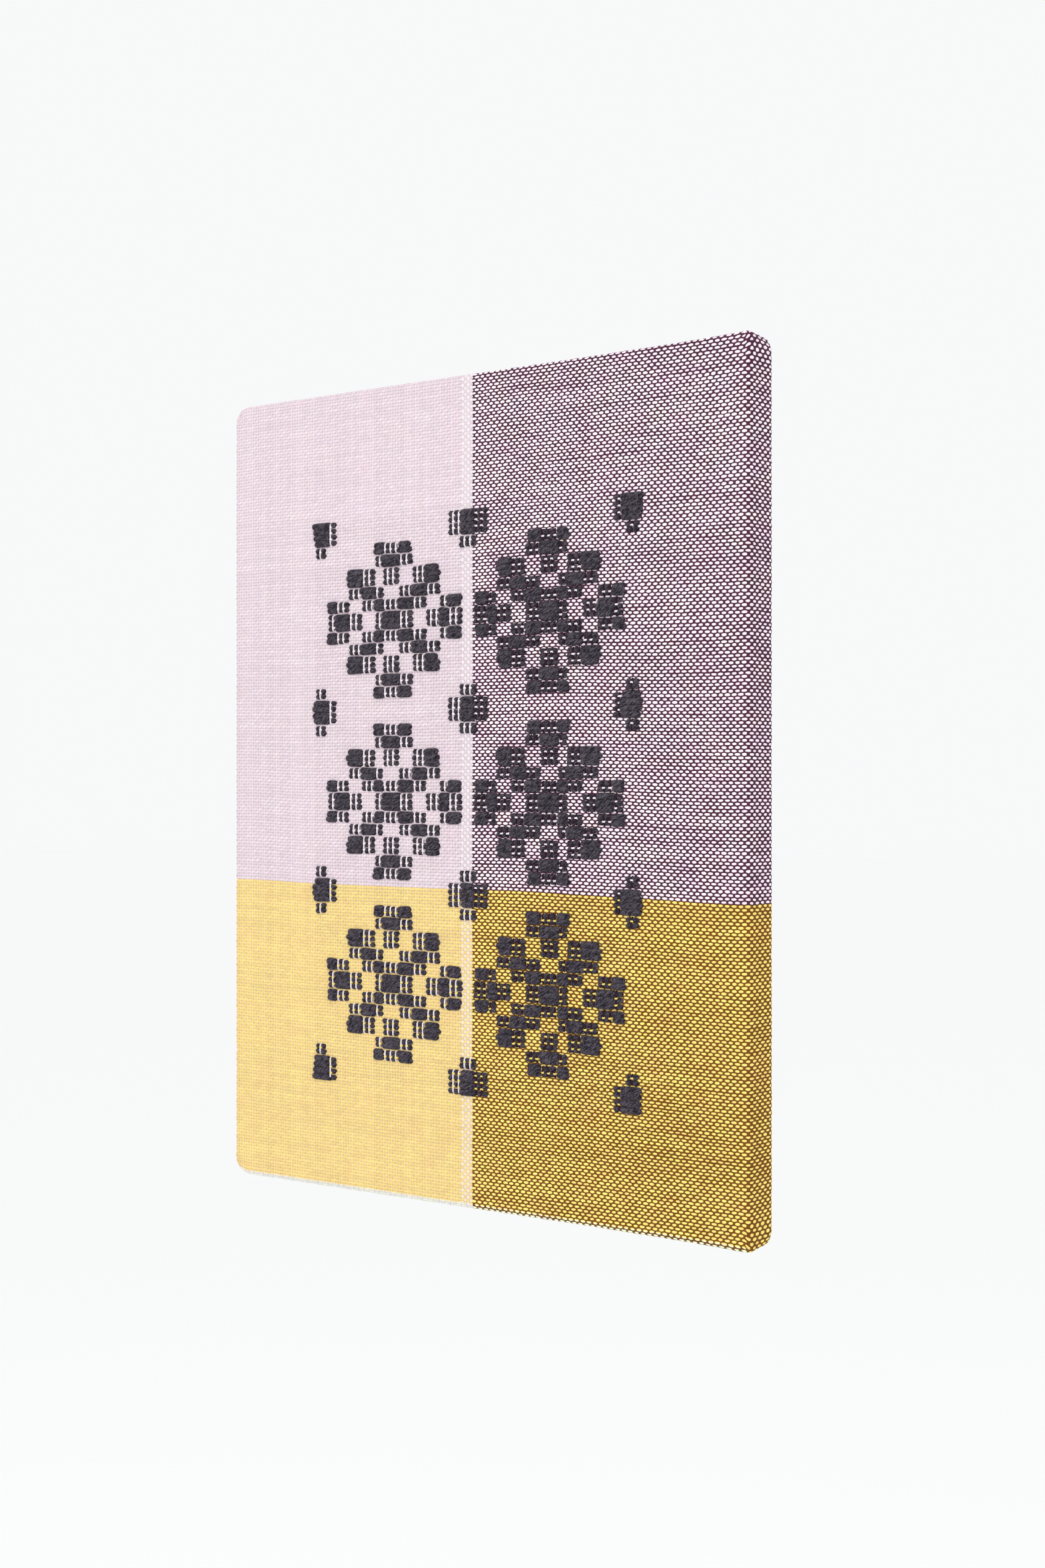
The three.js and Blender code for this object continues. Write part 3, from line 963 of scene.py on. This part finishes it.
def applyTree(source, tree, name, values):
    # runs the tree on an object and keeps its result as a plain mesh
    modifier = source.modifiers.new("lay", "NODES")
    modifier.node_group = tree
    identifiers = {item.name: item.identifier for item in tree.interface.items_tree if item.in_out == "INPUT"}
    for label, value in values.items():
        modifier[identifiers[label]] = value
    bpy.context.view_layer.update()
    depsgraph = bpy.context.evaluated_depsgraph_get()
    mesh = bpy.data.meshes.new_from_object(source.evaluated_get(depsgraph))
    source.modifiers.remove(modifier)
    bpy.data.objects.remove(source)
    piece = addObject(name, mesh)
    print(name + ":", sum(len(polygon.vertices) - 2 for polygon in mesh.polygons), "triangles")
    return piece


def endPlace(end):
    # across the panel, of an end of the pattern
    return (firstEnd + end - middleEnd) * endPitch


def floatYarns(floats, surface, rises, steps):
    # one yarn for each float: its two ends, rise, girth and steps; the rises are a dot's and a longer float's
    pick = np.random.default_rng(wool["seed"])
    yarns = []
    for first, number, pickIndex in floats:
        single, inward = number == 1, inwardAt(pickIndex)
        up = pickHeight(pickIndex) + inward * wool["crowd"] + pick.normal(0, wool["strays"])
        slope = pick.normal(0, wool["strays"])
        uneven = wool["uneven"] * (wool["dotUneven"] if single else 1)
        reach = (wool["dotReach"] if single else wool["reach"]) + pick.normal(0, uneven, 2)
        if inward and number > 2:
            reach -= wool["shorter"]
        start = (endPlace(first - 0.5) - reach[0], surface, up - slope)
        end = (endPlace(first + number - 0.5) + reach[1], surface, up + slope)
        girth = (wool["dotRadius"] if single else wool["floatRadius"]) * pick.uniform(*wool["radiusVaries"])
        rise = rises[0 if single else 1] * pick.uniform(*wool["riseVaries"])
        yarns.append((start, end, rise, girth, steps[0] + steps[1] * number))
    return yarns


def yarnSource(name, yarns):
    # one edge for each yarn, with what the tree needs to know of it
    pick = np.random.default_rng(wool["seed"])
    mesh = bpy.data.meshes.new(name)
    points = [point for start, end, *_ in yarns for point in (start, end)]
    mesh.from_pydata(points, [(2 * k, 2 * k + 1) for k in range(len(yarns))], [])
    columns = {
        "rise": [yarn[2] for yarn in yarns],
        "girth": [yarn[3] for yarn in yarns],
        "steps": [yarn[4] for yarn in yarns],
        "lot": pick.uniform(0, 1, len(yarns)),
    }
    for key, values in columns.items():
        kind = "INT" if key == "steps" else "FLOAT"
        mesh.attributes.new(key, kind, "POINT").data.foreach_set("value", np.repeat(values, 2))
    return addObject(name, mesh)


def layYarns(name, yarns, tree, **values):
    return applyTree(yarnSource(name + "Edges", yarns), tree, name, values)


yarnTree = makeYarnTree(makeWoolFinish(wool))
faceLay = socketsFrom(wool, "bedded climb taper tip flat unevenness lumps")
faceLay.update({"Surface": -depth, "Outwards": -1.0})
backLay = {**faceLay, "Surface": thickness - depth, "Outwards": 1.0}
faceRises = (wool["dotRise"], wool["rise"])
longFloats = [item for item in faceFloats if item[1] > 1]
dots = [item for item in faceFloats if item[1] == 1]
longYarns = floatYarns(longFloats, -depth, faceRises, wool["floatSteps"])
dotYarns = floatYarns(dots, -depth, faceRises, wool["dotSteps"])
backYarns = floatYarns(backFloats, thickness - depth, wool["backRise"], wool["backSteps"])
floatPiece = layYarns("patternFloats", longYarns, yarnTree, **faceLay, Sides=8)
dotPiece = layYarns("patternDots", dotYarns, yarnTree, **faceLay, Sides=6)
backPiece = layYarns("reverseFloats", backYarns, yarnTree, **backLay, Sides=5)

# the ground's own threads between the dots: the ends that tie the dots down, and the picks over those ends
tied = {
    "endRadius": 0.00038,
    "endRise": 0.00062,
    "endPast": 0.46,  # how far an end shows past its outer picks' middles, in pattern picks
    "pickRadius": 0.00056,
    "pickRise": 0.00066,
    "pickHalf": 0.76,  # half the length of a pick's loop, in ends
    "pickSteps": 5,
    "endSteps": (3, 2),  # points along an end: this many, and this many more for each pick it ties down
    "unevenness": 0.00004,
    "paleEnd": (0.80, 0.72, 0.75, 1),
    "plumEnd": (0.034, 0.013, 0.024, 1),
    "pinkPick": (0.87, 0.77, 0.82, 1),
    "yellowPick": (0.87, 0.67, 0.16, 1),
    "fibreScale": 1500.0,
    "fibreTones": (0.84, 1.14),
}
divisionAcross = (clothFinish["plumFrom"] - middleEnd - 0.5) * endPitch
divisionUp = panel["middle"] + (middlePick + 0.5 - clothFinish["yellowFrom"]) * pickPitch


def makeThreadFinish(name, axis, division, before, after):
    # plain thread, in one colour before the division along an axis and in another after it
    material, tree, shader = newMaterial(name)
    place = addNode(tree, "ShaderNodeTexCoord").outputs["Object"]
    isAfter = calc(tree, "GREATER_THAN", partsOf(tree, place)[axis], division)
    fibre = noise(tree, place, tied["fibreScale"], 2.0, 0.6).outputs[0]
    colour = mixColour(tree, isAfter, before, after)
    feedAll(tree, shader, {
        "Base Color": shaded(tree, colour, between(tree, fibre, *tied["fibreTones"])),
        "Roughness": 0.95,
        "Specular IOR Level": 0.08,
    })
    return material


endYarns, pickYarns = [], []
pastMiddle, loopHalf = tied["endPast"] * patternPitch, tied["pickHalf"] * endPitch
for end, first, number in ties:
    x = endPlace(end)
    top = (x, -depth, pickHeight(first) + pastMiddle)
    foot = (x, -depth, pickHeight(first + number - 1) - pastMiddle)
    steps = tied["endSteps"][0] + tied["endSteps"][1] * number
    endYarns.append((top, foot, tied["endRise"], tied["endRadius"], steps))
    for pickIndex in range(first, first + number - 1):
        # of the two picks below this one, the one that goes over the end
        pickRow = round(middlePick - (pickHeight(pickIndex) - panel["middle"]) / pickPitch + 0.5)
        pickRow += (firstEnd + end + pickRow) % 2
        z = panel["middle"] + (middlePick - pickRow) * pickPitch
        start, stop = (x - loopHalf, -depth, z), (x + loopHalf, -depth, z)
        pickYarns.append((start, stop, tied["pickRise"], tied["pickRadius"], tied["pickSteps"]))
endFinish = makeThreadFinish("tiedEnds", 0, divisionAcross, tied["paleEnd"], tied["plumEnd"])
pickFinish = makeThreadFinish("groundPicks", 2, divisionUp, tied["yellowPick"], tied["pinkPick"])
threadLay = {**faceLay, "Flat": 1.0, "Unevenness": tied["unevenness"], "Sides": 6}
endPiece = layYarns("tiedEnds", endYarns, makeYarnTree(endFinish), **threadLay)
pickPiece = layYarns("groundPicks", pickYarns, makeYarnTree(pickFinish), **threadLay)

# loose fibres of the wool
hair = {
    "colour": (0.22, 0.19, 0.22, 1),
    "density": 190000.0,  # on a square metre of the yarns' outer side
    "length": 0.0034,
    "lengthVaries": (0.55, 1.45),
    "radius": 0.000045,
    "facing": -0.35,  # they lie only where the yarn's normal has a y below this
    "scatter": 2.2,  # the boldest turn off the twist's slope by the square of half this, in radians
    "tilt": 0.25,  # and they tilt off the face by up to this
    "curlScale": 420.0,
    "curl": (0.003, 0.001, 0.003),
    "seed": 4,
}


def makeHairTree(material):
    # short loose fibres lying across the floats, mostly along the slope of the twist
    sizes = ("Density", "Length", "Radius", "Lean", "Scatter", "Tilt")
    tree, given, result = newTree("looseFibres", **dict.fromkeys(sizes, "Float"), Curl="Vector", Seed="Int")
    m = mathIn(tree)
    outwards = partsOf(tree, addNode(tree, "GeometryNodeInputNormal").outputs[0])[1]
    scattered = addNode(tree, "GeometryNodeDistributePointsOnFaces", {
        "Mesh": given[0],
        "Selection": m("LESS_THAN", outwards, hair["facing"]),
        "Density": given["Density"],
        "Seed": given["Seed"],
    }, distribute_method="RANDOM").outputs[0]
    here = addNode(tree, "GeometryNodeInputPosition").outputs[0]
    lots = addNode(tree, "ShaderNodeTexWhiteNoise", {"Vector": here}, noise_dimensions="3D")
    first, second, third = partsOf(tree, lots.outputs["Color"])
    spread = m("MULTIPLY", m("SUBTRACT", first, 0.5), given["Scatter"])
    turn = m("SUBTRACT", m("MULTIPLY", spread, m("ABSOLUTE", spread)), given["Lean"])
    tilt = m("MULTIPLY", m("MULTIPLY_ADD", second, 2.0, -1.0), given["Tilt"])
    line = addNode(tree, "GeometryNodeCurvePrimitiveLine", {"Start": (-0.5, 0, 0), "End": (0.5, 0, 0)})
    steps = addNode(tree, "GeometryNodeResampleCurve", {0: line.outputs[0], "Count": 4}).outputs[0]
    size = m("MULTIPLY", given["Length"], between(tree, third, *hair["lengthVaries"]))
    fibres = addNode(tree, "GeometryNodeInstanceOnPoints", {
        "Points": scattered,
        "Instance": steps,
        "Rotation": vectorOf(tree, 0.0, turn, tilt),
        "Scale": vectorOf(tree, size, size, size),
    }).outputs[0]
    loose = addNode(tree, "GeometryNodeRealizeInstances", {0: fibres}).outputs[0]
    wander = centred(tree, noise(tree, here, hair["curlScale"], 1.0, 0.5).outputs["Color"])
    bent = placed(tree, loose, Offset=scaled(tree, wander, given["Curl"]))
    endTree(tree, result, tubeAlong(tree, bent, given["Radius"], 3, False), material)
    return tree


hairFinish, hairNodes, hairShader = newMaterial("looseWool")
feedAll(hairNodes, hairShader, {"Base Color": hair["colour"], "Roughness": 0.9})
hairSource = addObject("hairSource", floatPiece.data.copy())
hairSizes = socketsFrom(hair, "density length radius scatter tilt curl seed")
hairSizes["Lean"] = wool["lean"]
hairPiece = applyTree(hairSource, makeHairTree(hairFinish), "looseHairs", hairSizes)

# the frame's bars: planed pine, with the grain along each bar
pine = {
    "light": (0.70, 0.50, 0.29, 1),
    "dark": (0.50, 0.30, 0.14, 1),
    "rings": 260.0,  # rings to a metre, across the bar's width and through its thickness
    "ringsThrough": 90.0,
    "wander": 7.0,
    "drawnAlong": 6.0,  # scale of the grain along the bar, and across it
    "drawnAcross": 90.0,
    "lateWood": (0.45, 0.95),
    "lateTone": 0.6,
    "fineTone": 0.35,
}


def makePineFinish(look, name, alongX):
    material, tree, shader = newMaterial(name)
    m = mathIn(tree)
    place = addNode(tree, "ShaderNodeTexCoord").outputs["Object"]
    along, across = look["drawnAlong"], look["drawnAcross"]
    drawn = scaled(tree, place, (along, across, across) if alongX else (across, across, along))
    wander = noise(tree, drawn, 0.6, 3.0, 0.5).outputs[0]
    x, y, z = partsOf(tree, place)
    rings = m("MULTIPLY_ADD", wander, look["wander"], m("MULTIPLY", z if alongX else x, look["rings"]))
    rings = m("MULTIPLY_ADD", y, look["ringsThrough"], rings)
    late = ease(tree, m("FRACT", rings), *look["lateWood"])
    fine = noise(tree, drawn, 9.0, 4.0, 0.7).outputs[0]
    tone = m("MULTIPLY_ADD", fine, look["fineTone"], m("MULTIPLY", late, look["lateTone"]))
    feedAll(tree, shader, {
        "Base Color": mixColour(tree, tone, look["light"], look["dark"]),
        "Normal": bumped(tree, fine, 0.4, 0.0002),
        "Roughness": 0.62,
    })
    return material


barNames = ["top_bar", "bottom_bar", "left_bar", "right_bar"]
for barName in barNames:
    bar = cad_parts[barName]
    alongX = barName in ("top_bar", "bottom_bar")
    bar.data.materials.clear()
    bar.data.materials.append(makePineFinish(pine, barName + "Pine", alongX))
print("bars:", len(barNames), "in pine")

# everything rides on the one body
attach(cloth, "root")
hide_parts("woven_cloth")
for piece in (floatPiece, dotPiece, backPiece, endPiece, pickPiece, hairPiece):
    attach(piece, "root")

# floor, light and camera
studio = {
    "floorDrop": 0.95,  # below the panel's lower edge
    "floorHalf": 30.0,
    "floorColour": (0.89, 0.89, 0.89, 1),
    "worldColour": (0.965, 0.97, 0.975, 1),
    "worldStrength": 0.97,
    "lamps": {  # where each stands, its width and its power
        "keyLight": ((-0.55, -1.75, 0.75), 1.1, 14.0),
        "fillLight": ((1.5, -0.75, 0.1), 1.0, 5.2),
    },
    "overhead": 0.35,
    "overheadWidth": math.radians(60),
}
floorMesh = bpy.data.meshes.new("floor")
floorHeight = panel["middle"] - panel["halfHeight"] - studio["floorDrop"]
floorCorners = [
    (x * studio["floorHalf"], y * studio["floorHalf"], floorHeight)
    for x, y in ((-1, -1), (1, -1), (1, 1), (-1, 1))
]
floorMesh.from_pydata(floorCorners, [], [(0, 1, 2, 3)])
floor = addObject("floor", floorMesh)
floorFinish, floorNodes, floorShader = newMaterial("floorPaint")
feedAll(floorNodes, floorShader, {"Base Color": studio["floorColour"], "Roughness": 0.9})
floorMesh.materials.append(floorFinish)

world = bpy.data.worlds.new("studio")
scene.world = world
world.use_nodes = True
background = world.node_tree.nodes["Background"]
background.inputs["Color"].default_value = studio["worldColour"]
background.inputs["Strength"].default_value = studio["worldStrength"]


def areaLight(name, at, aim, size, power):
    data = bpy.data.lights.new(name, "AREA")
    data.shape = "SQUARE"
    data.size = size
    data.energy = power
    light = addObject(name, data)
    direction = [aim[k] - at[k] for k in range(3)]
    yaw = math.atan2(direction[0], direction[1])
    flatLength = math.hypot(direction[0], direction[1])
    light.location = at
    light.rotation_euler = (math.pi / 2 + math.atan2(direction[2], flatLength), 0, -yaw)


studioAim = (0, 0, panel["middle"])
for lampName, (lampAt, lampSize, lampPower) in studio["lamps"].items():
    areaLight(lampName, lampAt, studioAim, lampSize, lampPower)
overheadData = bpy.data.lights.new("overhead", "SUN")
overheadData.energy = studio["overhead"]
overheadData.angle = studio["overheadWidth"]
addObject("overhead", overheadData)

view = {
    "turn": math.radians(37.79),  # off the face's normal, to the panel's right
    "lens": 50.0,
    "frameHeight": 36.0,
    "away": 0.8487,  # from the lens to the front right edge, along the view
    "across": 0.0883,  # and to the right of the view's middle
    "height": 0.50836,  # of the panel's height, from its foot
}
forward = (-math.sin(view["turn"]), math.cos(view["turn"]))
rightward = (math.cos(view["turn"]), math.sin(view["turn"]))
edge = (panel["halfWidth"], -depth)
cameraData = bpy.data.cameras.new("camera")
cameraData.lens = view["lens"]
cameraData.sensor_fit = "VERTICAL"
cameraData.sensor_height = view["frameHeight"]
camera = addObject("camera", cameraData)
camera.location = (
    edge[0] - view["away"] * forward[0] - view["across"] * rightward[0],
    edge[1] - view["away"] * forward[1] - view["across"] * rightward[1],
    panel["middle"] + (2 * view["height"] - 1) * panel["halfHeight"],
)
camera.rotation_euler = (math.pi / 2, 0, view["turn"])
scene.camera = camera
print("studio ready")
